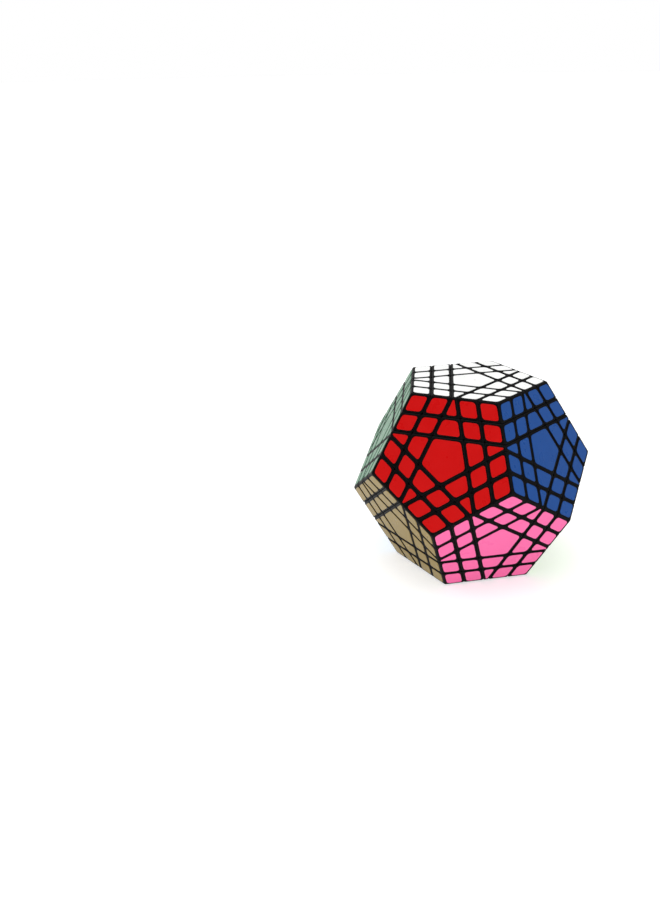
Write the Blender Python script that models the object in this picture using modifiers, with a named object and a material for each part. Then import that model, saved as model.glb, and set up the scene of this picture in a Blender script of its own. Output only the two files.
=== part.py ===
"""A five-layer dodecahedral twisting puzzle: 242 outside pieces round a core with twelve arms.

Every face is cut by two planes parallel to each of its neighbours, so that each piece is
the space between those planes. The white, pink and sky faces turn: each has an outer layer
and a second layer below it. Nothing else is cut by their planes, so all three turn freely.
The white layer is modelled piece by piece. The other pieces of a layer or of a pair of
faces are joined below the surface, with an open seam between every two of them.
"""
import math

import bmesh
import bpy
from mathutils import Vector

MM = 0.001

# Driving dimensions.
EDGE = 42.0 * MM
GAP = 0.4 * MM
SEAM_DEPTH = 0.8 * MM
ROUNDING = 0.5 * MM

# The dodecahedron and its cuts, as distances from the centre along a face's axis.
# A second cut of FACE / GOLDEN would run through the middles of the edges. This one stays
# clear of them, so the layers of two faces that share no edge never touch.
GOLDEN = (1 + math.sqrt(5)) / 2
FACE = EDGE * GOLDEN ** 2 / (2 * math.sqrt(3 - GOLDEN))
FIRST_CUT = 0.817 * FACE
SECOND_CUT = 0.638 * FACE
# Each row of a joined group has its web a little deeper, so that no two webs' faces coincide.
WEB_STEP = 0.08 * MM

# The core and what its arms carry.
CORE_RADIUS = 0.6 * SECOND_CUT
ARM_RADIUS = 4.0 * MM
ARM_ROOT = 0.75 * CORE_RADIUS
ARM_END = FIRST_CUT - 1.2 * MM
ARM_HOLE_RADIUS = ARM_RADIUS + 0.5 * MM
SCREW_RADIUS = 1.5 * MM
SCREW_HEAD_RADIUS = 3.3 * MM
SCREW_HEAD_HEIGHT = 2.0 * MM
SCREW_HOLE_RADIUS = SCREW_RADIUS + 0.3 * MM
SCREW_TIP = SECOND_CUT - 2.0 * MM
POCKET_RADIUS = 4.4 * MM
POCKET_TOP = FACE - 1.2 * MM
SHELF_TOP = FIRST_CUT + GAP / 2 + 1.6 * MM
HEAD_TOP = POCKET_TOP - 0.6 * MM
HEAD_BOTTOM = HEAD_TOP - SCREW_HEAD_HEIGHT
SPRING_WIRE_RADIUS = 0.2 * MM
SPRING_RADIUS = SCREW_RADIUS + SPRING_WIRE_RADIUS + 0.4 * MM
SPRING_TURNS = 3
SPRING_CLEARANCE = 0.3 * MM

# How finely round things are divided.
ROUND_STEPS = 12
BALL_SEGMENTS = 20
BALL_RINGS = 12
SPRING_STEPS = 10
BISECT_TOLERANCE = 1e-7
WELD_DISTANCE = 1e-6

# Each face's place: its angle from the vertical, and its turn round the vertical in degrees.
TILT = math.atan(2)
FACE_PLACES = {
    "white": (0.0, 0),
    "red": (TILT, 0),
    "blue": (TILT, 72),
    "yellow": (TILT, 144),
    "purple": (TILT, 216),
    "green": (TILT, 288),
    "pink": (math.pi - TILT, 36),
    "lime": (math.pi - TILT, 108),
    "orange": (math.pi - TILT, 180),
    "sky": (math.pi - TILT, 252),
    "gold": (math.pi - TILT, 324),
    "grey": (math.pi, 0),
}
STICKER_COLOURS = {
    "white": (0.86, 0.87, 0.85),
    "red": (0.62, 0.010, 0.012),
    "blue": (0.012, 0.075, 0.30),
    "yellow": (0.85, 0.60, 0.03),
    "purple": (0.16, 0.04, 0.34),
    "green": (0.01, 0.22, 0.07),
    "pink": (0.85, 0.15, 0.35),
    "lime": (0.30, 0.62, 0.06),
    "orange": (0.85, 0.20, 0.02),
    "sky": (0.12, 0.45, 0.75),
    "gold": (0.38, 0.24, 0.09),
    "grey": (0.30, 0.31, 0.32),
}
BLACK_PLASTIC = (0.012, 0.012, 0.013)
STEEL = (0.62, 0.63, 0.65)

TURNING = ("white", "pink", "sky")
# The fixed pieces, in joined groups: a name, the faces whose pieces the group takes, and the
# faces that these pieces may lie in. An earlier group takes the pieces that two could have.
BACK_REGION = ("blue", "yellow", "lime", "purple", "orange", "grey")
FIXED_GROUPS = (
    ("red_blue_bridge", ("red", "blue"), ("red", "blue")),
    ("purple_green_bridge", ("purple", "green"), ("purple", "green")),
    ("gold_grey_bridge", ("gold", "grey"), ("gold", "grey")),
    ("left_corner_pieces", ("red", "green", "gold"), ("red", "green", "gold")),
    ("yellow_pieces", ("yellow",), BACK_REGION),
    ("lime_pieces", ("lime",), BACK_REGION),
    ("orange_purple_pieces", ("orange", "purple"), BACK_REGION),
    ("blue_pieces", ("blue",), BACK_REGION),
    ("grey_pieces", ("grey",), BACK_REGION),
)


def face_normal(name):
    """The unit vector from the centre through the middle of a face."""
    tilt, turn = FACE_PLACES[name]
    angle = math.radians(turn)
    return Vector((math.sin(tilt) * math.sin(angle), -math.sin(tilt) * math.cos(angle), math.cos(tilt)))


NORMALS = {name: face_normal(name) for name in FACE_PLACES}


def neighbours(face):
    """The five faces that share an edge with this one."""
    return [other for other in NORMALS if other != face and NORMALS[face].dot(NORMALS[other]) > 0.4]


def face_corners():
    """Every three faces that meet at a corner."""
    names = list(NORMALS)
    return [
        (a, b, c)
        for i, a in enumerate(names)
        for j, b in enumerate(names[i + 1:], i + 1)
        for c in names[j + 1:]
        if b in neighbours(a) and c in neighbours(a) and c in neighbours(b)
    ]


def outside_pieces():
    """Every outside piece as (kind, faces it lies in, faces whose second layer it lies in)."""
    pieces = [("centre", (face,), ()) for face in NORMALS]
    for face in NORMALS:
        for other in neighbours(face):
            pieces.append(("side_centre", (face,), (other,)))
            if list(NORMALS).index(face) < list(NORMALS).index(other):
                pieces.append(("middle_edge", (face, other), ()))
    for corner in face_corners():
        pieces.append(("corner", corner, ()))
        for face in corner:
            rest = tuple(other for other in corner if other != face)
            pieces.append(("wing", rest, (face,)))
            pieces.append(("point_centre", (face,), rest))
    return pieces


def hidden_pieces():
    """The pieces of the second layers that no face shows, which carry the outside ones."""
    pieces = [("hub", (), (face,)) for face in NORMALS]
    for face in NORMALS:
        for other in neighbours(face):
            if list(NORMALS).index(face) < list(NORMALS).index(other):
                pieces.append(("hidden_edge", (), (face, other)))
    pieces += [("hidden_corner", (), corner) for corner in face_corners()]
    return pieces


def layer_of(piece):
    """The turning layer that a piece belongs to, or None for a piece of the fixed part."""
    outer, second = piece[1], piece[2]
    for face in TURNING:
        if face in outer:
            return face, "outer"
        if face in second:
            return face, "second"
    return None


def cell_planes(outer, second):
    """The planes round one piece, as (outward normal, distance from the centre)."""
    planes = []
    for face, normal in NORMALS.items():
        if face in outer:
            planes += [(normal, FACE), (-normal, -FIRST_CUT - GAP / 2)]
        elif face in second:
            planes += [(normal, FIRST_CUT - GAP / 2), (-normal, -SECOND_CUT - GAP / 2)]
        else:
            planes.append((normal, SECOND_CUT - GAP / 2))
    return planes


def convex_solid(bm, planes):
    """Add to bm the solid that lies behind all the planes, cut from a cube."""
    block = bmesh.new()
    bmesh.ops.create_cube(block, size=4 * EDGE)
    for normal, distance in planes:
        everything = block.verts[:] + block.edges[:] + block.faces[:]
        bmesh.ops.bisect_plane(
            block,
            geom=everything,
            dist=BISECT_TOLERANCE,
            plane_co=normal * distance,
            plane_no=normal,
            clear_outer=True,
        )
        rim = [edge for edge in block.edges if edge.is_boundary]
        if rim:
            bmesh.ops.holes_fill(block, edges=rim)
    bmesh.ops.remove_doubles(block, verts=block.verts, dist=WELD_DISTANCE)
    bmesh.ops.recalc_face_normals(block, faces=block.faces)
    piece = bpy.data.meshes.new("cell")
    block.to_mesh(piece)
    block.free()
    bm.from_mesh(piece)
    bpy.data.meshes.remove(piece)


def solids_object(name, plane_lists, collection):
    """An object that holds one convex solid for each list of planes."""
    bm = bmesh.new()
    for planes in plane_lists:
        convex_solid(bm, planes)
    mesh = bpy.data.meshes.new(name)
    bm.to_mesh(mesh)
    bm.free()
    obj = bpy.data.objects.new(name, mesh)
    collection.objects.link(obj)
    return obj


def as_cutter(obj):
    """Show an object as a wire guide that isn't a part."""
    obj.hide_render = True
    obj.display_type = "WIRE"
    return obj


def along_axis(face):
    """The turn that takes +Z to a face's axis."""
    return Vector((0, 0, 1)).rotation_difference(NORMALS[face]).to_matrix().to_4x4()


def turned_object(name, profile, collection, steps=ROUND_STEPS):
    """A solid turned round +Z from (radius, height) points that run from its top to its bottom."""
    mesh = bpy.data.meshes.new(name)
    points = [(radius, 0, height) for radius, height in profile]
    mesh.from_pydata(points, [(i, i + 1) for i in range(len(points) - 1)], [])
    obj = bpy.data.objects.new(name, mesh)
    collection.objects.link(obj)
    screw = obj.modifiers.new("turn", "SCREW")
    screw.axis = "Z"
    screw.steps = steps
    screw.render_steps = steps
    screw.use_merge_vertices = True
    screw.merge_threshold = 0.00001
    return obj


def boolean(obj, operation, other):
    """Join or cut an object with another one, or with a whole collection at once."""
    modifier = obj.modifiers.new(operation.lower() + "_" + other.name, "BOOLEAN")
    modifier.operation = operation
    modifier.solver = "EXACT"
    if isinstance(other, bpy.types.Collection):
        modifier.operand_type = "COLLECTION"
        modifier.collection = other
    else:
        modifier.object = other


def round_edges(obj):
    """Take the sharpness off a piece's edges."""
    bevel = obj.modifiers.new("rounding", "BEVEL")
    bevel.width = ROUNDING
    bevel.segments = 1
    bevel.limit_method = "NONE"


def material(name, colour, roughness, metallic=0.0):
    """A plain surface of one colour, made once for each name."""
    if name in bpy.data.materials:
        return bpy.data.materials[name]
    surface = bpy.data.materials.new(name)
    surface.use_nodes = True
    shader = surface.node_tree.nodes["Principled BSDF"]
    shader.inputs["Base Color"].default_value = (*colour, 1)
    shader.inputs["Roughness"].default_value = roughness
    shader.inputs["Metallic"].default_value = metallic
    surface.diffuse_color = (*colour, 1)
    return surface


def finish_black(obj):
    """The black plastic that every piece is moulded from."""
    obj.data.materials.append(material("black_plastic", BLACK_PLASTIC, 0.35))


class Puzzle:
    """The collections of the puzzle and the empties that its layers turn about."""

    def __init__(self):
        self.parts = bpy.data.collections.new("twisty_dodecahedron")
        self.cutters = bpy.data.collections.new("cutters")
        for collection in (self.parts, self.cutters):
            bpy.context.scene.collection.children.link(collection)
        self.axes = {}
        self.arms = self.cutter_group("arms")
        self.fixed_arm_holes = self.cutter_group("fixed_arm_holes")

    def cutter_group(self, name):
        """A collection of cutters that one Boolean uses together."""
        group = bpy.data.collections.new(name)
        self.cutters.children.link(group)
        return group

    def turn_with(self, obj, layer):
        """Hang a piece on the empty that stands on its layer's axis."""
        if layer is None:
            return
        face, depth = layer
        name = face + "_" + depth + "_axis"
        if name not in self.axes:
            empty = bpy.data.objects.new(name, None)
            empty.matrix_world = along_axis(face)
            empty.empty_display_type = "SINGLE_ARROW"
            empty.empty_display_size = FACE + EDGE / 2
            self.parts.objects.link(empty)
            self.axes[name] = empty
        obj.parent = self.axes[name]
        obj.matrix_parent_inverse = along_axis(face).inverted()

    def joined_pieces(self, name, pieces, webs, holes):
        """Pieces that keep their seams and are joined below the surface by webs with holes."""
        obj = solids_object(name, webs[:1], self.parts)
        for index, web in enumerate(webs[1:]):
            other = solids_object(f"{name}_web_{index + 2}", [web], self.cutters)
            boolean(obj, "UNION", as_cutter(other))
        for hole in holes:
            boolean(obj, "DIFFERENCE", hole)
        cells = [cell_planes(outer, second) for kind, outer, second in pieces]
        boolean(obj, "UNION", as_cutter(solids_object(name + "_cells", cells, self.cutters)))
        finish_black(obj)
        return obj

    def centre_hole(self, face):
        """The pentagonal well that a face's centre sits in, one seam wider than the centre."""
        planes = [(NORMALS[other], SECOND_CUT + GAP / 2 + SEAM_DEPTH) for other in neighbours(face)]
        planes += [(NORMALS[face], FACE + EDGE / 4), (-NORMALS[face], -SECOND_CUT)]
        return as_cutter(solids_object("well_" + face, [planes], self.cutters))


def arm_hole(face, collection):
    """The round hole in a hub that the core's arm runs through."""
    profile = [(0, FACE), (ARM_HOLE_RADIUS, FACE), (ARM_HOLE_RADIUS, ARM_ROOT), (0, ARM_ROOT)]
    hole = turned_object("hole_" + face, profile, collection)
    hole.matrix_world = along_axis(face)
    return as_cutter(hole)


def piece_name(kind, outer, second):
    """A name such as wing_white_red_by_blue."""
    name = "_".join((kind,) + outer)
    if second:
        name += "_by_" + "_".join(second)
    return name


def make_white_layer(puzzle):
    """The thirty pieces round the white centre, each a part of its own."""
    for kind, outer, second in outside_pieces():
        if kind == "centre" or layer_of((kind, outer, second)) != ("white", "outer"):
            continue
        obj = solids_object(piece_name(kind, outer, second), [cell_planes(outer, second)], puzzle.parts)
        round_edges(obj)
        finish_black(obj)
        puzzle.turn_with(obj, ("white", "outer"))


def make_outer_ring(puzzle, face):
    """The thirty pieces round a turning face's centre, joined."""
    web = [(normal, FACE - SEAM_DEPTH) for normal in NORMALS.values()]
    web.append((-NORMALS[face], -FIRST_CUT - GAP / 2 - SEAM_DEPTH))
    pieces = [p for p in outside_pieces() if p[0] != "centre" and layer_of(p) == (face, "outer")]
    ring = puzzle.joined_pieces(face + "_outer_ring", pieces, [web], [puzzle.centre_hole(face)])
    puzzle.turn_with(ring, (face, "outer"))


def make_second_layer(puzzle, face):
    """The twenty outside and eleven hidden pieces of a turning face's second layer, joined."""
    web = [(normal, FACE - SEAM_DEPTH) for name, normal in NORMALS.items() if name != face]
    web.append((NORMALS[face], FIRST_CUT - GAP / 2 - SEAM_DEPTH))
    web.append((-NORMALS[face], -SECOND_CUT - GAP / 2 - SEAM_DEPTH))
    pieces = [p for p in outside_pieces() + hidden_pieces() if layer_of(p) == (face, "second")]
    layer = puzzle.joined_pieces(face + "_second_layer", pieces, [web], [])
    boolean(layer, "DIFFERENCE", arm_hole(face, puzzle.cutters))
    puzzle.turn_with(layer, (face, "second"))


def row_web(face, edge_face, reach, taken, depth):
    """The web below one face's two rows along its edge with another, as planes."""
    planes = [(NORMALS[face], FACE - depth), (-NORMALS[face], -FIRST_CUT - GAP / 2 - depth)]
    planes.append((-NORMALS[edge_face], -SECOND_CUT - GAP / 2 - depth))
    for other in neighbours(face):
        if other not in reach:
            limit = SECOND_CUT - GAP / 2 - depth
        elif other in taken:
            limit = FIRST_CUT - GAP / 2 - depth
        else:
            limit = FACE - depth
        planes.append((NORMALS[other], limit))
    return planes


def make_fixed_pieces(puzzle):
    """The outside pieces of the fixed part, joined in groups."""
    left = [p for p in outside_pieces() if p[0] != "centre" and layer_of(p) is None]
    taken = {}
    for name, faces, reach in FIXED_GROUPS:
        pieces = [p for p in left if set(p[1]) & set(faces) and set(p[1] + p[2]) <= set(reach)]
        left = [p for p in left if p not in pieces]
        earlier = taken.setdefault(reach, [])
        rows = [(face, other) for face in faces for other in neighbours(face) if other in reach]
        webs = [
            row_web(face, other, reach, earlier, SEAM_DEPTH + index * WEB_STEP)
            for index, (face, other) in enumerate(rows)
        ]
        puzzle.joined_pieces(name, pieces, webs, [])
        earlier += faces


def make_hidden_shell(puzzle):
    """The hidden pieces of the fixed part, joined into the shell that the core sits in."""
    pieces = [p for p in hidden_pieces() if layer_of(p) is None]
    web = []
    for face, normal in NORMALS.items():
        cut = SECOND_CUT if face in TURNING else FIRST_CUT
        web.append((normal, cut - GAP / 2 - SEAM_DEPTH))
    inside = [(normal, SECOND_CUT + GAP / 2 + SEAM_DEPTH) for normal in NORMALS.values()]
    room = as_cutter(solids_object("room_for_core", [inside], puzzle.cutters))
    shell = puzzle.joined_pieces("hidden_pieces", pieces, [web], [room])
    for face in NORMALS:
        if face not in TURNING:
            arm_hole(face, puzzle.fixed_arm_holes)
    boolean(shell, "DIFFERENCE", puzzle.fixed_arm_holes)


def make_core(puzzle):
    """The ball with an arm to each face, and a screw hole down each arm."""
    mesh = bpy.data.meshes.new("core")
    bm = bmesh.new()
    bmesh.ops.create_uvsphere(bm, u_segments=BALL_SEGMENTS, v_segments=BALL_RINGS, radius=CORE_RADIUS)
    bm.to_mesh(mesh)
    bm.free()
    core = bpy.data.objects.new("core", mesh)
    puzzle.parts.objects.link(core)
    hole_bottom = SCREW_TIP - GAP
    profile = [
        (0, hole_bottom),
        (SCREW_HOLE_RADIUS, hole_bottom),
        (SCREW_HOLE_RADIUS, ARM_END),
        (ARM_RADIUS, ARM_END),
        (ARM_RADIUS, ARM_ROOT),
        (0, ARM_ROOT),
    ]
    for face in NORMALS:
        arm = as_cutter(turned_object("arm_" + face, profile, puzzle.arms))
        arm.matrix_world = along_axis(face)
    boolean(core, "UNION", puzzle.arms)
    finish_black(core)


def make_centre(puzzle, face):
    """A face's centre, with a pocket below for the spring and the screw's head."""
    centre = solids_object("centre_" + face, [cell_planes((face,), ())], puzzle.parts)
    round_edges(centre)
    profile = [
        (0, POCKET_TOP),
        (POCKET_RADIUS, POCKET_TOP),
        (POCKET_RADIUS, SHELF_TOP),
        (SCREW_HOLE_RADIUS, SHELF_TOP),
        (SCREW_HOLE_RADIUS, SECOND_CUT),
        (0, SECOND_CUT),
    ]
    pocket = as_cutter(turned_object("pocket_" + face, profile, puzzle.cutters))
    pocket.matrix_world = along_axis(face)
    boolean(centre, "DIFFERENCE", pocket)
    centre.data.materials.append(material("sticker_" + face, STICKER_COLOURS[face], 0.3))
    if face in TURNING:
        puzzle.turn_with(centre, (face, "outer"))


def make_screw(puzzle, face):
    """The screw that holds a face's centre against its spring."""
    profile = [
        (0, HEAD_TOP),
        (SCREW_HEAD_RADIUS, HEAD_TOP),
        (SCREW_HEAD_RADIUS, HEAD_BOTTOM),
        (SCREW_RADIUS, HEAD_BOTTOM),
        (SCREW_RADIUS, SCREW_TIP),
        (0, SCREW_TIP),
    ]
    screw = turned_object("screw_" + face, profile, puzzle.parts)
    screw.matrix_world = along_axis(face)
    screw.data.materials.append(material("steel", STEEL, 0.3, 1.0))


def make_spring(puzzle, face):
    """The coil spring between a centre's shelf and the screw's head."""
    low = SHELF_TOP + SPRING_WIRE_RADIUS + SPRING_CLEARANCE
    high = HEAD_BOTTOM - SPRING_WIRE_RADIUS - SPRING_CLEARANCE
    curve = bpy.data.curves.new("spring_" + face, "CURVE")
    curve.dimensions = "3D"
    curve.bevel_depth = SPRING_WIRE_RADIUS
    curve.bevel_resolution = 2
    curve.use_fill_caps = True
    coil = curve.splines.new("POLY")
    count = SPRING_TURNS * SPRING_STEPS
    coil.points.add(count)
    for i, point in enumerate(coil.points):
        angle = 2 * math.pi * i / SPRING_STEPS
        height = low + (high - low) * i / count
        point.co = (SPRING_RADIUS * math.cos(angle), SPRING_RADIUS * math.sin(angle), height, 1)
    spring = bpy.data.objects.new("spring_" + face, curve)
    puzzle.parts.objects.link(spring)
    spring.matrix_world = along_axis(face)
    curve.materials.append(material("steel", STEEL, 0.3, 1.0))


def main():
    """Clear the scene and build the puzzle round the origin, white face up."""
    for obj in list(bpy.data.objects):
        bpy.data.objects.remove(obj, do_unlink=True)
    puzzle = Puzzle()
    make_core(puzzle)
    make_hidden_shell(puzzle)
    make_fixed_pieces(puzzle)
    make_white_layer(puzzle)
    for face in TURNING:
        make_second_layer(puzzle, face)
    for face in ("pink", "sky"):
        make_outer_ring(puzzle, face)
    make_screw(puzzle, "white")
    make_spring(puzzle, "white")
    for face in NORMALS:
        make_centre(puzzle, face)


main()
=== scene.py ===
"""The looks of the five-layer dodecahedral puzzle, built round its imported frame.

Every outside piece is its own rounded black moulding, cut out by the planes that part the frame's
solids, with a sticker on each side that shows. The sizes are read from the frame.
"""

import math

import bmesh
import bpy
from mathutils import Matrix, Vector


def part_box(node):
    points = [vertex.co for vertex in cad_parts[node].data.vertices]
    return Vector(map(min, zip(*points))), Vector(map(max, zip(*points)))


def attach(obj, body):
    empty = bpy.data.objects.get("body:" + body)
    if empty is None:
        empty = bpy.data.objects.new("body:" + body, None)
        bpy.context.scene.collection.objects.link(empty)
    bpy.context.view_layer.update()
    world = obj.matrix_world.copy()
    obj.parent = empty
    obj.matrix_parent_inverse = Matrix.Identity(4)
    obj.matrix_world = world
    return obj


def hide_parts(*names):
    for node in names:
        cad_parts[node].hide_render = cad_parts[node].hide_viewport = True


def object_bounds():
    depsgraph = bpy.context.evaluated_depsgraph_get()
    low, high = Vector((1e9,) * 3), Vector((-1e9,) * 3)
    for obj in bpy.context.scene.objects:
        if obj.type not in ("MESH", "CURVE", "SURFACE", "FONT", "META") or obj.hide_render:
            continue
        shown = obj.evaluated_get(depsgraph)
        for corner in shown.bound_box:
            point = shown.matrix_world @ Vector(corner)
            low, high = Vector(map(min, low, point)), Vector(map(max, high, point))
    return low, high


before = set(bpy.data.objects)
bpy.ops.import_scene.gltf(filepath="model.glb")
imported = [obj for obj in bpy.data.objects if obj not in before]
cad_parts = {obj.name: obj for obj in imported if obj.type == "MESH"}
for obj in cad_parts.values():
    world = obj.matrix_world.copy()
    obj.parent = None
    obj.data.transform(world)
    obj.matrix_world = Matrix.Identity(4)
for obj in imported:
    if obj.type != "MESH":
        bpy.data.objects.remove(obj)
CAD_BOX = [list(corner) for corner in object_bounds()]

MM = 0.001
CUT_TOLERANCE = 1e-7
WELD_DISTANCE = 1e-6
GOLDEN = (1 + math.sqrt(5)) / 2

# The planes, as distances from the centre along a face's axis, read from the frame.
CENTRE_LOW, CENTRE_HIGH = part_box("centre_white")
SECOND_LOW, SECOND_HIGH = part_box("white_second_layer")
FACE = CENTRE_HIGH.z
GAP = CENTRE_LOW.z - SECOND_HIGH.z
FIRST_CUT = CENTRE_LOW.z - GAP / 2
SECOND_CUT = SECOND_LOW.z - GAP / 2
EDGE = 2 * FACE * math.sqrt(3 - GOLDEN) / GOLDEN ** 2

# The mouldings. They stand closer together than the frame's solids, so no light shows between
# them, and a little below the plane of their stickers' tops.
SEAM = 0.1 * MM
ROUNDING = 0.65 * MM
ROUNDING_STEPS = 3
RECESS = 0.12 * MM
FLAT_TOLERANCE = 0.02 * MM

# The stickers. Each is a closed solid with a small lip round its top, half sunk in its moulding.
STICKER_MARGIN = 1.1 * MM
STICKER_EDGE_MARGIN = 1.2 * MM
STICKER_CORNER = 1.6 * MM
STICKER_CORNER_STEPS = 5
STICKER_CORNER_SHARE = 0.3
STICKER_LIP = 0.05 * MM
STICKER_ROOT = 0.1 * MM
STICKER_SHARP_ANGLE = math.radians(30)

# The screws, springs and washers inside the centres, and the room that they need.
SCREW_LOW, SCREW_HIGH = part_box("screw_white")
SPRING_LOW, SPRING_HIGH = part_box("spring_white")
SCREW_HEAD_RADIUS = SCREW_HIGH.x
SCREW_HEAD_HEIGHT = 2.0 * MM
SCREW_RADIUS = 1.5 * MM
WIRE_RADIUS = 0.2 * MM
SPRING_RADIUS = SPRING_HIGH.x - WIRE_RADIUS
SPRING_TURNS = 3
SPRING_STEPS = 24
POCKET_RADIUS = 4.4 * MM
POCKET_TOP = FACE - 1.2 * MM
SHELF_TOP = FIRST_CUT + GAP / 2 + 1.6 * MM
WASHER_THICKNESS = 0.25 * MM
BORE_RADIUS = SCREW_RADIUS + 0.3 * MM
ARM_HOLE_RADIUS = 4.5 * MM
CUTTER_REACH = EDGE / 8
CROSS_LENGTH, CROSS_WIDTH, CROSS_DEPTH = 3.4 * MM, 0.7 * MM, 1.2 * MM
SCREW_SOFT_EDGE = 0.25 * MM
WASHER_CLEARANCE = 0.02 * MM
WASHER_RIM = 0.2 * MM
ROUND_STEPS = 32
SHARP_ANGLE = math.radians(35)

# Each face's place: its angle from the vertical, and its turn round the vertical in degrees.
TILT = math.atan(2)
FACE_PLACES = {
    "white": (0.0, 0),
    "red": (TILT, 0),
    "blue": (TILT, 72),
    "yellow": (TILT, 144),
    "purple": (TILT, 216),
    "green": (TILT, 288),
    "pink": (math.pi - TILT, 36),
    "lime": (math.pi - TILT, 108),
    "orange": (math.pi - TILT, 180),
    "sky": (math.pi - TILT, 252),
    "gold": (math.pi - TILT, 324),
    "grey": (math.pi, 0),
}
STICKER_COLOURS = {
    "white": (0.88, 0.89, 0.87),
    "red": (0.48, 0.002, 0.002),
    "blue": (0.001, 0.055, 0.25),
    "yellow": (0.86, 0.58, 0.01),
    "purple": (0.16, 0.04, 0.34),
    "green": (0.006, 0.15, 0.05),
    "pink": (0.86, 0.14, 0.36),
    "lime": (0.32, 0.62, 0.05),
    "orange": (0.85, 0.19, 0.015),
    "sky": (0.10, 0.42, 0.72),
    "gold": (0.25, 0.17, 0.035),
    "grey": (0.27, 0.28, 0.29),
}
# The faces that turn. All other pieces belong to the fixed part.
TURNING = ("white", "pink", "sky")
BACK_REGION = ("blue", "yellow", "lime", "purple", "orange", "grey")
# The frame's joined nodes: a name, the faces whose pieces the node takes, and the faces that
# these pieces may lie in. An earlier node takes the pieces that two could have.
FIXED_GROUPS = (
    ("red_blue_bridge", ("red", "blue"), ("red", "blue")),
    ("purple_green_bridge", ("purple", "green"), ("purple", "green")),
    ("gold_grey_bridge", ("gold", "grey"), ("gold", "grey")),
    ("left_corner_pieces", ("red", "green", "gold"), ("red", "green", "gold")),
    ("yellow_pieces", ("yellow",), BACK_REGION),
    ("lime_pieces", ("lime",), BACK_REGION),
    ("orange_purple_pieces", ("orange", "purple"), BACK_REGION),
    ("blue_pieces", ("blue",), BACK_REGION),
    ("grey_pieces", ("grey",), BACK_REGION),
)

# The camera, in the puzzle's edge lengths and degrees.
CAMERA_AZIMUTH = 23.74
CAMERA_ELEVATION = 21.09
CAMERA_ROLL = -0.978
CAMERA_DISTANCE = 12.937
CAMERA_OFFSET = (1.6466, -0.2339)
CAMERA_LENS = 43.73

# The studio. The walls and ceiling are bands of the world, by a direction's upward part.
FLOOR_RADIUS = 6.0
WALL_TOP, CEILING_START = 0.36, 0.5
WALL_LIGHT, CEILING_LIGHT = 1.0, 0.15
OVERHEAD_LIGHT = 2.7
OVERHEAD_SPREAD = math.radians(70)
OVERHEAD_TURN = (math.radians(8), math.radians(-5), 0)


def face_normal(name):
    """The unit vector from the centre through the middle of a face."""
    tilt, turn = FACE_PLACES[name]
    angle = math.radians(turn)
    return Vector((math.sin(tilt) * math.sin(angle), -math.sin(tilt) * math.cos(angle), math.cos(tilt)))


NORMALS = {name: face_normal(name) for name in FACE_PLACES}
# A distance along a face, times this, is the distance along a neighbouring face's axis.
SLOPE = math.sin(TILT)
# The axes of faces that share an edge have a cosine a little above this; no others do.
NEIGHBOUR_COSINE = 0.9 * math.cos(TILT)


def neighbours(face):
    """The five faces that share an edge with this one."""
    near = [other for other in NORMALS if NORMALS[face].dot(NORMALS[other]) > NEIGHBOUR_COSINE]
    return [other for other in near if other != face]


def face_corners():
    """Every three faces that meet at a corner."""
    names = list(NORMALS)
    return [
        (a, b, c)
        for i, a in enumerate(names)
        for j, b in enumerate(names[i + 1:], i + 1)
        for c in names[j + 1:]
        if b in neighbours(a) and c in neighbours(a) and c in neighbours(b)
    ]


def outside_pieces():
    """Every outside piece as (kind, faces it lies in, faces whose second layer it lies in)."""
    pieces = [("centre", (face,), ()) for face in NORMALS]
    for face in NORMALS:
        for other in neighbours(face):
            pieces.append(("side_centre", (face,), (other,)))
            if list(NORMALS).index(face) < list(NORMALS).index(other):
                pieces.append(("middle_edge", (face, other), ()))
    for corner in face_corners():
        pieces.append(("corner", corner, ()))
        for face in corner:
            rest = tuple(other for other in corner if other != face)
            pieces.append(("wing", rest, (face,)))
            pieces.append(("point_centre", (face,), rest))
    return pieces


def hidden_pieces():
    """The pieces of the turning faces' second layers that no face shows."""
    pieces = [("hub", (), (face,)) for face in TURNING]
    for face in TURNING:
        pieces += [("hidden_edge", (), (face, other)) for other in neighbours(face)]
        pieces += [("hidden_corner", (), corner) for corner in face_corners() if face in corner]
    return pieces


def piece_name(piece):
    """A piece's name from its kind, its faces and the faces whose second layer it lies in."""
    kind, outer, second = piece
    name = "_".join((kind,) + outer)
    return name + "_by_" + "_".join(second) if second else name


def layer_of(piece):
    """The turning layer that a piece belongs to, or None for a piece of the fixed part."""
    outer, second = piece[1], piece[2]
    for face in TURNING:
        if face in outer:
            return face, "outer"
        if face in second:
            return face, "second"
    return None


def body_of(piece):
    """The name of the body that a piece moves with."""
    layer = layer_of(piece)
    if layer is None:
        return "fixed_part"
    return layer[0] + ("_outer_layer" if layer[1] == "outer" else "_second_layer_body")


def frame_node(piece):
    """The frame's node that a piece stands for."""
    layer = layer_of(piece)
    if piece[0] == "centre":
        return piece_name(piece)
    if layer is None:
        for name, faces, reach in FIXED_GROUPS:
            if set(piece[1]) & set(faces) and set(piece[1] + piece[2]) <= set(reach):
                return name
    if layer[1] == "second":
        return layer[0] + "_second_layer"
    return piece_name(piece) if layer[0] == "white" else layer[0] + "_outer_ring"


def cell_planes(outer, second):
    """The planes round one piece, as (outward normal, distance from the centre)."""
    planes = []
    for face, normal in NORMALS.items():
        if face in outer:
            planes += [(normal, FACE - RECESS), (-normal, -FIRST_CUT - SEAM / 2)]
        elif face in second:
            planes += [(normal, FIRST_CUT - SEAM / 2), (-normal, -SECOND_CUT - SEAM / 2)]
        else:
            planes.append((normal, SECOND_CUT - SEAM / 2))
    return planes


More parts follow.
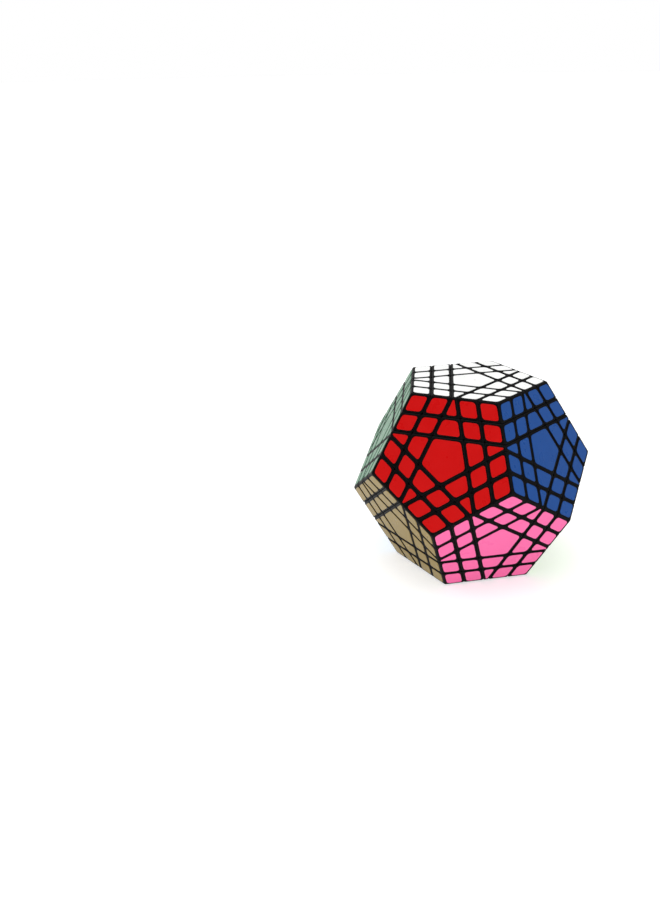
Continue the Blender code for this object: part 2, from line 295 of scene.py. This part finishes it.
def convex_mesh(planes):
    """The solid that lies behind all the planes, cut from a cube."""
    block = bmesh.new()
    bmesh.ops.create_cube(block, size=4 * EDGE)
    for normal, distance in planes:
        everything = block.verts[:] + block.edges[:] + block.faces[:]
        bmesh.ops.bisect_plane(
            block,
            geom=everything,
            dist=CUT_TOLERANCE,
            plane_co=normal * distance,
            plane_no=normal,
            clear_outer=True,
        )
        rim = [edge for edge in block.edges if edge.is_boundary]
        if rim:
            bmesh.ops.holes_fill(block, edges=rim)
    bmesh.ops.remove_doubles(block, verts=block.verts, dist=WELD_DISTANCE)
    bmesh.ops.recalc_face_normals(block, faces=block.faces)
    return block


def new_object(name, block):
    """An object of this mesh, linked to the scene."""
    mesh = bpy.data.meshes.new(name)
    block.to_mesh(mesh)
    block.free()
    obj = bpy.data.objects.new(name, mesh)
    bpy.context.scene.collection.objects.link(obj)
    return obj


def finished_mesh(obj):
    """A new mesh of what an object's modifiers or curve settings make of it."""
    bpy.context.view_layer.update()
    seen = obj.evaluated_get(bpy.context.evaluated_depsgraph_get())
    return bpy.data.meshes.new_from_object(seen)


def settle(obj):
    """Replace an object's mesh with what its modifiers make of it."""
    mesh = finished_mesh(obj)
    mesh.name = obj.name
    obj.modifiers.clear()
    obj.data = mesh


def cut_out(obj, cutter):
    """Cut one object's shape out of another, and remove the cutter."""
    cut = obj.modifiers.new("cut", "BOOLEAN")
    cut.operation = "DIFFERENCE"
    cut.solver = "EXACT"
    cut.object = cutter
    settle(obj)
    bpy.data.objects.remove(cutter, do_unlink=True)


def mark_wear_and_sheen(mesh, planes):
    """Store where a piece is painted paler, for wear and a painted highlight: points on a piece's flat
    sides aren't, and rounded edges are.
    """
    wear_and_sheen = mesh.attributes.new("wear_and_sheen", "FLOAT", "POINT")
    for vertex in mesh.vertices:
        flat = min(abs(normal.dot(vertex.co) - distance) for normal, distance in planes)
        wear_and_sheen.data[vertex.index].value = 0.0 if flat < FLAT_TOLERANCE else 1.0


def moulding(piece):
    """One black piece with rounded edges."""
    planes = cell_planes(piece[1], piece[2])
    obj = new_object(piece_name(piece) + "_moulding", convex_mesh(planes))
    obj.data.polygons.foreach_set("use_smooth", [True] * len(obj.data.polygons))
    bevel = obj.modifiers.new("rounding", "BEVEL")
    bevel.width = ROUNDING
    bevel.segments = ROUNDING_STEPS
    bevel.limit_method = "NONE"
    bevel.harden_normals = True
    if piece[0] == "centre":
        cut_out(obj, centre_pocket(piece[1][0]))
    elif piece[0] == "hub":
        cut_out(obj, arm_hole(piece[2][0]))
    else:
        settle(obj)
    mark_wear_and_sheen(obj.data, planes)
    return obj


def turned(name, face, profile):
    """A solid turned round a face's axis from (radius, height) points."""
    block = bmesh.new()
    turn = Vector((0, 0, 1)).rotation_difference(NORMALS[face]).to_matrix()
    rings = []
    for radius, height in profile:
        if radius == 0:
            rings.append([block.verts.new(turn @ Vector((0, 0, height)))])
            continue
        angles = [2 * math.pi * i / ROUND_STEPS for i in range(ROUND_STEPS)]
        ring = [Vector((radius * math.cos(a), radius * math.sin(a), height)) for a in angles]
        rings.append([block.verts.new(turn @ point) for point in ring])
    for low, high in zip(rings, rings[1:]):
        for i in range(ROUND_STEPS):
            j = (i + 1) % ROUND_STEPS
            corners = [low[i % len(low)], low[j % len(low)], high[j % len(high)], high[i % len(high)]]
            block.faces.new(list(dict.fromkeys(corners)))
    if profile[0] == profile[-1]:
        bmesh.ops.remove_doubles(block, verts=block.verts, dist=CUT_TOLERANCE)
    bmesh.ops.recalc_face_normals(block, faces=block.faces)
    obj = new_object(name, block)
    obj.data.polygons.foreach_set("use_smooth", [True] * len(obj.data.polygons))
    obj.data.set_sharp_from_angle(angle=SHARP_ANGLE)
    return obj


def centre_pocket(face):
    """The cutter for the room below a centre that holds its spring and screw head."""
    profile = [
        (0, FIRST_CUT - CUTTER_REACH),
        (BORE_RADIUS, FIRST_CUT - CUTTER_REACH),
        (BORE_RADIUS, SHELF_TOP),
        (POCKET_RADIUS, SHELF_TOP),
        (POCKET_RADIUS, POCKET_TOP),
        (0, POCKET_TOP),
    ]
    return turned("pocket_" + face, face, profile)


def arm_hole(face):
    """The cutter for the hole that the core's arm passes through."""
    low, high = SECOND_CUT - CUTTER_REACH, FIRST_CUT + CUTTER_REACH
    profile = [(0, low), (ARM_HOLE_RADIUS, low), (ARM_HOLE_RADIUS, high), (0, high)]
    return turned("arm_hole_" + face, face, profile)


def clipped(points, normal, distance):
    """A convex outline, cut back to behind a plane."""
    kept = []
    for a, b in zip(points, points[1:] + points[:1]):
        da, db = normal.dot(a) - distance, normal.dot(b) - distance
        if da <= 0:
            kept.append(a)
        if da * db < 0:
            kept.append(a + (b - a) * (da / (da - db)))
    return kept


def sticker_outline(piece, face, extra):
    """A sticker's corners in order round the face's axis, set in by its margins and extra."""
    normal = NORMALS[face]
    across = normal.orthogonal().normalized()
    up = normal.cross(across)
    ways = (across + up, up - across, -across - up, across - up)
    points = [normal * FACE + way * 2 * EDGE for way in ways]
    margin = (STICKER_MARGIN + extra) * SLOPE
    for other in neighbours(face):
        side = NORMALS[other]
        if other in piece[1]:
            edge_margin = (STICKER_EDGE_MARGIN + extra) * SLOPE
            points = clipped(points, side, FACE - edge_margin)
            points = clipped(points, -side, -FIRST_CUT - margin)
        elif other in piece[2]:
            points = clipped(points, side, FIRST_CUT - margin)
            points = clipped(points, -side, -SECOND_CUT - margin)
        else:
            points = clipped(points, side, SECOND_CUT - margin)
    return points


def rounded(points):
    """An outline with its corners rounded off."""
    smooth = []
    for i, corner in enumerate(points):
        before, after = points[i - 1] - corner, points[(i + 1) % len(points)] - corner
        room = STICKER_CORNER_SHARE * min(before.length, after.length)
        reach = min(STICKER_CORNER, room)
        start, end = corner + before.normalized() * reach, corner + after.normalized() * reach
        for step in range(STICKER_CORNER_STEPS):
            t = step / (STICKER_CORNER_STEPS - 1)
            smooth.append(start * (1 - t) ** 2 + corner * (2 * t * (1 - t)) + end * t ** 2)
    return smooth


def add_sticker(block, piece, face):
    """Add one closed sticker with a small lip round its top."""
    normal = NORMALS[face]
    outer = rounded(sticker_outline(piece, face, 0.0))
    inner = rounded(sticker_outline(piece, face, STICKER_LIP))
    rows = [
        [point - normal * (RECESS + STICKER_ROOT) for point in outer],
        [point - normal * STICKER_LIP for point in outer],
        inner,
    ]
    rings = [[block.verts.new(point) for point in row] for row in rows]
    count = len(outer)
    for low, high in zip(rings, rings[1:]):
        for i in range(count):
            j = (i + 1) % count
            block.faces.new((low[i], low[j], high[j], high[i]))
    block.faces.new(rings[-1])
    block.faces.new(rings[0][::-1])


def sticker_sheets(pieces):
    """All the stickers, joined into one object for each face of each body."""
    sheets = {}
    for piece in pieces:
        for face in piece[1]:
            sheets.setdefault((face, body_of(piece)), []).append(piece)
    for (face, body), group in sheets.items():
        block = bmesh.new()
        for piece in group:
            add_sticker(block, piece, face)
        bmesh.ops.recalc_face_normals(block, faces=block.faces)
        obj = new_object("stickers_" + face + "_" + body, block)
        obj.data.polygons.foreach_set("use_smooth", [True] * len(obj.data.polygons))
        obj.data.set_sharp_from_angle(angle=STICKER_SHARP_ANGLE)
        obj.data.materials.append(STICKERS[face])
        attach(obj, body)


class Nodes:
    """A material's node tree, with short calls to add to it."""

    def __init__(self, name):
        self.material = bpy.data.materials.new(name)
        self.material.use_nodes = True
        self.tree = self.material.node_tree
        self.shader = self.tree.nodes["Principled BSDF"]
        self.place = self.tree.nodes.new("ShaderNodeTexCoord").outputs["Object"]

    def link(self, source, target):
        """Join an output to an input."""
        self.tree.links.new(source, target)

    def set(self, **values):
        """Set numbers and colours on the shader's own sockets."""
        for name, value in values.items():
            self.shader.inputs[name.replace("_", " ")].default_value = value

    def noise(self, size, detail=2.0, roughness=0.5):
        """Noise whose features are about size metres across."""
        node = self.tree.nodes.new("ShaderNodeTexNoise")
        node.inputs["Scale"].default_value = 1 / size
        node.inputs["Detail"].default_value = detail
        node.inputs["Roughness"].default_value = roughness
        self.link(self.place, node.inputs["Vector"])
        return node.outputs["Fac"]

    def spread(self, value, low, high, start=0.3, end=0.7):
        """A value from start to end, mapped to low to high."""
        node = self.tree.nodes.new("ShaderNodeMapRange")
        node.inputs["From Min"].default_value = start
        node.inputs["From Max"].default_value = end
        node.inputs["To Min"].default_value = low
        node.inputs["To Max"].default_value = high
        self.link(value, node.inputs["Value"])
        return node.outputs["Result"]

    def blend(self, factor, first, second):
        """A colour between two others."""
        node = self.tree.nodes.new("ShaderNodeMix")
        node.data_type = "RGBA"
        self.link(factor, node.inputs["Factor"])
        for value, socket in ((first, node.inputs["A"]), (second, node.inputs["B"])):
            if isinstance(value, tuple):
                socket.default_value = (*value, 1)
            else:
                self.link(value, socket)
        return node.outputs["Result"]

    def multiply(self, first, second):
        """The product of two values."""
        node = self.tree.nodes.new("ShaderNodeMath")
        node.operation = "MULTIPLY"
        self.link(first, node.inputs[0])
        self.link(second, node.inputs[1])
        return node.outputs["Value"]

    def attribute(self, name):
        """A number stored on the mesh."""
        node = self.tree.nodes.new("ShaderNodeAttribute")
        node.attribute_name = name
        return node.outputs["Fac"]

    def bump(self, height, strength, distance, under=None):
        """Relief from a height, on top of another relief."""
        node = self.tree.nodes.new("ShaderNodeBump")
        node.inputs["Strength"].default_value = strength
        node.inputs["Distance"].default_value = distance
        self.link(height, node.inputs["Height"])
        if under is not None:
            self.link(under, node.inputs["Normal"])
        return node.outputs["Normal"]


def shade(colour, amount):
    """A colour made lighter or darker."""
    return tuple(channel * amount for channel in colour)


def sticker_material(face):
    """Glossy vinyl with a faint orange peel and slightly uneven ink."""
    colour = STICKER_COLOURS[face]
    nodes = Nodes("sticker_" + face)
    uneven = nodes.spread(nodes.noise(12 * MM, 1.0), 0.0, 1.0)
    ink = nodes.blend(uneven, shade(colour, 0.98), shade(colour, 1.02))
    nodes.link(ink, nodes.shader.inputs["Base Color"])
    handled = nodes.noise(6 * MM, 2.0, 0.5)
    nodes.link(nodes.spread(handled, 0.26, 0.34), nodes.shader.inputs["Roughness"])
    wave = nodes.bump(nodes.noise(4 * MM, 1.0), 0.2, 0.02 * MM)
    peel = nodes.bump(nodes.noise(0.35 * MM, 2.0), 0.08, 0.003 * MM, wave)
    nodes.link(peel, nodes.shader.inputs["Normal"])
    nodes.set(IOR=1.46, Specular_IOR_Level=0.15)
    return nodes.material


def black_material():
    """Moulded black plastic with a fine grain, a little paler on its rounded edges, as wear and as a
    painted highlight.
    """
    nodes = Nodes("black_plastic")
    uneven = nodes.spread(nodes.noise(6 * MM, 3.0), 0.0, 1.0)
    body = nodes.blend(uneven, (0.0015, 0.0015, 0.0016), (0.003, 0.003, 0.0032))
    # The rounded edges are painted paler: partly wear, partly a painted highlight that stands for light
    # catching the bevels.
    wear_and_sheen_patches = nodes.spread(nodes.noise(1.1 * MM, 4.0, 0.65), 0.1, 0.8)
    rubbed_and_sheen = nodes.multiply(nodes.attribute("wear_and_sheen"), wear_and_sheen_patches)
    nodes.link(nodes.blend(rubbed_and_sheen, body, (0.010, 0.010, 0.0105)), nodes.shader.inputs["Base Color"])
    nodes.link(nodes.spread(nodes.noise(1.5 * MM, 4.0), 0.34, 0.48), nodes.shader.inputs["Roughness"])
    grain = nodes.bump(nodes.noise(0.16 * MM, 3.0), 0.3, 0.006 * MM)
    sink = nodes.bump(nodes.noise(5 * MM, 1.0), 0.3, 0.03 * MM, grain)
    nodes.link(sink, nodes.shader.inputs["Normal"])
    nodes.set(IOR=1.5, Specular_IOR_Level=0.025)
    return nodes.material


def inner_material():
    """The core's slippery black plastic, smoother than the pieces."""
    nodes = Nodes("core_plastic")
    uneven = nodes.spread(nodes.noise(4 * MM, 3.0), 0.0, 1.0)
    body = nodes.blend(uneven, (0.011, 0.011, 0.012), (0.02, 0.02, 0.021))
    nodes.link(body, nodes.shader.inputs["Base Color"])
    nodes.link(nodes.spread(nodes.noise(1.2 * MM, 4.0), 0.22, 0.4), nodes.shader.inputs["Roughness"])
    nodes.link(nodes.bump(nodes.noise(0.2 * MM, 3.0), 0.3, 0.005 * MM), nodes.shader.inputs["Normal"])
    nodes.set(IOR=1.5)
    return nodes.material


def steel_material():
    """Bright zinc-plated steel with fine scratches."""
    nodes = Nodes("steel")
    uneven = nodes.spread(nodes.noise(1.5 * MM, 4.0), 0.0, 1.0)
    plating = nodes.blend(uneven, (0.50, 0.51, 0.53), (0.66, 0.67, 0.69))
    nodes.link(plating, nodes.shader.inputs["Base Color"])
    nodes.link(nodes.spread(nodes.noise(0.6 * MM, 5.0, 0.7), 0.22, 0.42), nodes.shader.inputs["Roughness"])
    nodes.link(nodes.bump(nodes.noise(0.12 * MM, 3.0), 0.25, 0.004 * MM), nodes.shader.inputs["Normal"])
    nodes.set(Metallic=1.0)
    return nodes.material


def floor_material():
    """A pale matt studio surface."""
    nodes = Nodes("studio_floor")
    pale = nodes.blend(nodes.noise(0.4, 2.0), (0.58, 0.58, 0.58), (0.61, 0.61, 0.61))
    nodes.link(pale, nodes.shader.inputs["Base Color"])
    nodes.set(Roughness=0.7, Emission_Color=(1, 1, 1, 1), Emission_Strength=0.6)
    return nodes.material


BLACK = black_material()
INNER = inner_material()
METAL = steel_material()
STICKERS = {face: sticker_material(face) for face in NORMALS}


def finish_piece(obj, material, body, slot, *nodes):
    """Give a piece its surface and its body, and hide the nodes that it stands for. The slot is not used.
    """
    obj.data.materials.append(material)
    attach(obj, body)
    if nodes:
        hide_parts(*nodes)


def mouldings(pieces):
    """Every black piece, each standing for its share of a node."""
    for piece in pieces:
        finish_piece(moulding(piece), BLACK, body_of(piece), "black_plastic", frame_node(piece))


def cross_cutter(face, height):
    """A plus-shaped block whose middle is at a height on a face's axis."""
    long, short, deep = CROSS_LENGTH / 2, CROSS_WIDTH / 2, CROSS_DEPTH
    outline = [(short, long), (short, short), (long, short)]
    outline += [(x, -y) for x, y in reversed(outline)]
    outline += [(-x, y) for x, y in reversed(outline)]
    turn = Vector((0, 0, 1)).rotation_difference(NORMALS[face]).to_matrix()
    block = bmesh.new()
    low = [block.verts.new(turn @ Vector((x, y, height - deep))) for x, y in outline]
    high = [block.verts.new(turn @ Vector((x, y, height + deep))) for x, y in outline]
    block.faces.new(low)
    block.faces.new(high[::-1])
    for i in range(len(outline)):
        j = (i + 1) % len(outline)
        block.faces.new((low[i], high[i], high[j], low[j]))
    bmesh.ops.recalc_face_normals(block, faces=block.faces)
    return new_object("cross_" + face, block)


def screw(face):
    """The screw under a face's centre, with a cross in its head."""
    high, low = SCREW_HIGH.z, SCREW_LOW.z
    under = high - SCREW_HEAD_HEIGHT
    soft = SCREW_SOFT_EDGE
    profile = [
        (0, high),
        (SCREW_HEAD_RADIUS - 2 * soft, high),
        (SCREW_HEAD_RADIUS - soft, high - soft / 2),
        (SCREW_HEAD_RADIUS, high - 2 * soft),
        (SCREW_HEAD_RADIUS, under),
        (SCREW_RADIUS, under),
        (SCREW_RADIUS, low + 2 * soft),
        (SCREW_RADIUS - 2 * soft, low),
        (0, low),
    ]
    obj = turned("cross_screw_" + face, face, profile)
    cut_out(obj, cross_cutter(face, high))
    return obj


def washer(face):
    """The washer between the spring and the screw's head."""
    head = SCREW_HIGH.z - SCREW_HEAD_HEIGHT
    top, bottom = head - WASHER_CLEARANCE, head - WASHER_THICKNESS
    inner, outer = BORE_RADIUS, SCREW_HEAD_RADIUS - WASHER_RIM
    profile = [(inner, top), (outer, top), (outer, bottom), (inner, bottom), (inner, top)]
    return turned("washer_" + face, face, profile)


def spring(face):
    """The coil spring under a screw's head."""
    low = SPRING_LOW.z + WIRE_RADIUS
    high = SPRING_HIGH.z - WIRE_RADIUS
    turn = Vector((0, 0, 1)).rotation_difference(NORMALS[face]).to_matrix()
    curve = bpy.data.curves.new("coil_spring_" + face, "CURVE")
    curve.dimensions = "3D"
    curve.bevel_depth = WIRE_RADIUS
    curve.bevel_resolution = 3
    curve.use_fill_caps = True
    coil = curve.splines.new("POLY")
    count = SPRING_TURNS * SPRING_STEPS
    coil.points.add(count)
    for i, point in enumerate(coil.points):
        angle = 2 * math.pi * i / SPRING_STEPS
        height = low + (high - low) * i / count
        at = turn @ Vector((SPRING_RADIUS * math.cos(angle), SPRING_RADIUS * math.sin(angle), height))
        point.co = (*at, 1)
    obj = bpy.data.objects.new("coil_spring_" + face, curve)
    bpy.context.scene.collection.objects.link(obj)
    return settle_curve(obj)


def settle_curve(obj):
    """Turn a curve's object into a mesh object in place."""
    mesh = finished_mesh(obj)
    name = obj.name
    bpy.data.objects.remove(obj, do_unlink=True)
    made = bpy.data.objects.new(name, mesh)
    bpy.context.scene.collection.objects.link(made)
    return made


def fasteners():
    """A screw, a washer and a spring inside every centre."""
    in_frame = {"white": (["screw_white"], ["spring_white"])}
    for face in NORMALS:
        screw_nodes, spring_nodes = in_frame.get(face, ([], []))
        finish_piece(screw(face), METAL, "fixed_part", "steel", *screw_nodes)
        finish_piece(spring(face), METAL, "fixed_part", "steel", *spring_nodes)
        finish_piece(washer(face), METAL, "fixed_part", "steel")


def area_light(name, place, size, power):
    """A soft rectangular light at a place, turned towards the puzzle."""
    data = bpy.data.lights.new(name, "AREA")
    data.shape = "RECTANGLE"
    data.size, data.size_y = size
    data.energy = power
    lamp = bpy.data.objects.new(name, data)
    bpy.context.scene.collection.objects.link(lamp)
    lamp.location = place
    lamp.rotation_euler = (-Vector(place)).to_track_quat("-Z", "Y").to_euler()


def surroundings():
    """White walls to a little above the horizon, and a dimmer ceiling."""
    world = bpy.data.worlds.new("studio")
    world.use_nodes = True
    tree = world.node_tree
    split = tree.nodes.new("ShaderNodeSeparateXYZ")
    tree.links.new(tree.nodes.new("ShaderNodeTexCoord").outputs["Generated"], split.inputs["Vector"])
    fade = tree.nodes.new("ShaderNodeMapRange")
    fade.inputs["From Min"].default_value = WALL_TOP
    fade.inputs["From Max"].default_value = CEILING_START
    fade.inputs["To Min"].default_value = WALL_LIGHT
    fade.inputs["To Max"].default_value = CEILING_LIGHT
    tree.links.new(split.outputs["Z"], fade.inputs["Value"])
    background = tree.nodes["Background"]
    background.inputs["Color"].default_value = (1, 1, 1, 1)
    tree.links.new(fade.outputs["Result"], background.inputs["Strength"])
    return world


def studio():
    """The floor, the pale surroundings and the soft lights."""
    block = bmesh.new()
    bmesh.ops.create_circle(block, cap_ends=True, segments=96, radius=FLOOR_RADIUS)
    bmesh.ops.translate(block, vec=(0, 0, CAD_BOX[0][2]), verts=block.verts)
    floor = new_object("floor", block)
    floor.data.materials.append(floor_material())
    bpy.context.scene.world = surroundings()
    bpy.context.scene.view_settings.view_transform = "Standard"
    data = bpy.data.lights.new("overhead_diffuser", "SUN")
    data.energy = OVERHEAD_LIGHT
    data.angle = OVERHEAD_SPREAD
    overhead = bpy.data.objects.new("overhead_diffuser", data)
    bpy.context.scene.collection.objects.link(overhead)
    overhead.rotation_euler = OVERHEAD_TURN
    area_light("fill_right", (0.75, -0.62, 0.12), (0.45, 0.30), 0.5)
    area_light("fill_left", (-0.50, -0.85, 0.05), (0.45, 0.20), 0.3)


def camera():
    """A camera where the puzzle is seen with the white face on top and the red one in front."""
    azimuth, elevation, roll = map(math.radians, (CAMERA_AZIMUTH, CAMERA_ELEVATION, CAMERA_ROLL))
    level_back = Vector((math.sin(azimuth), -math.cos(azimuth), 0))
    back = level_back * math.cos(elevation) + Vector((0, 0, math.sin(elevation)))
    level = Vector((math.cos(azimuth), math.sin(azimuth), 0))
    upright = back.cross(level)
    right = level * math.cos(roll) + upright * math.sin(roll)
    up = upright * math.cos(roll) - level * math.sin(roll)
    data = bpy.data.cameras.new("camera")
    data.lens = CAMERA_LENS
    data.sensor_width = 36
    data.clip_start = 0.01
    data.clip_end = 100
    made = bpy.data.objects.new("camera", data)
    bpy.context.scene.collection.objects.link(made)
    turn = Matrix((right, up, back)).transposed()
    place = EDGE * (back * CAMERA_DISTANCE - right * CAMERA_OFFSET[0] - up * CAMERA_OFFSET[1])
    made.matrix_world = Matrix.Translation(place) @ turn.to_4x4()
    bpy.context.scene.camera = made


mouldings(outside_pieces() + hidden_pieces())
sticker_sheets(outside_pieces())
fasteners()
for node, surface in (("core", INNER), ("hidden_pieces", BLACK)):
    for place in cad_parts[node].material_slots:
        place.material = surface
studio()
camera()
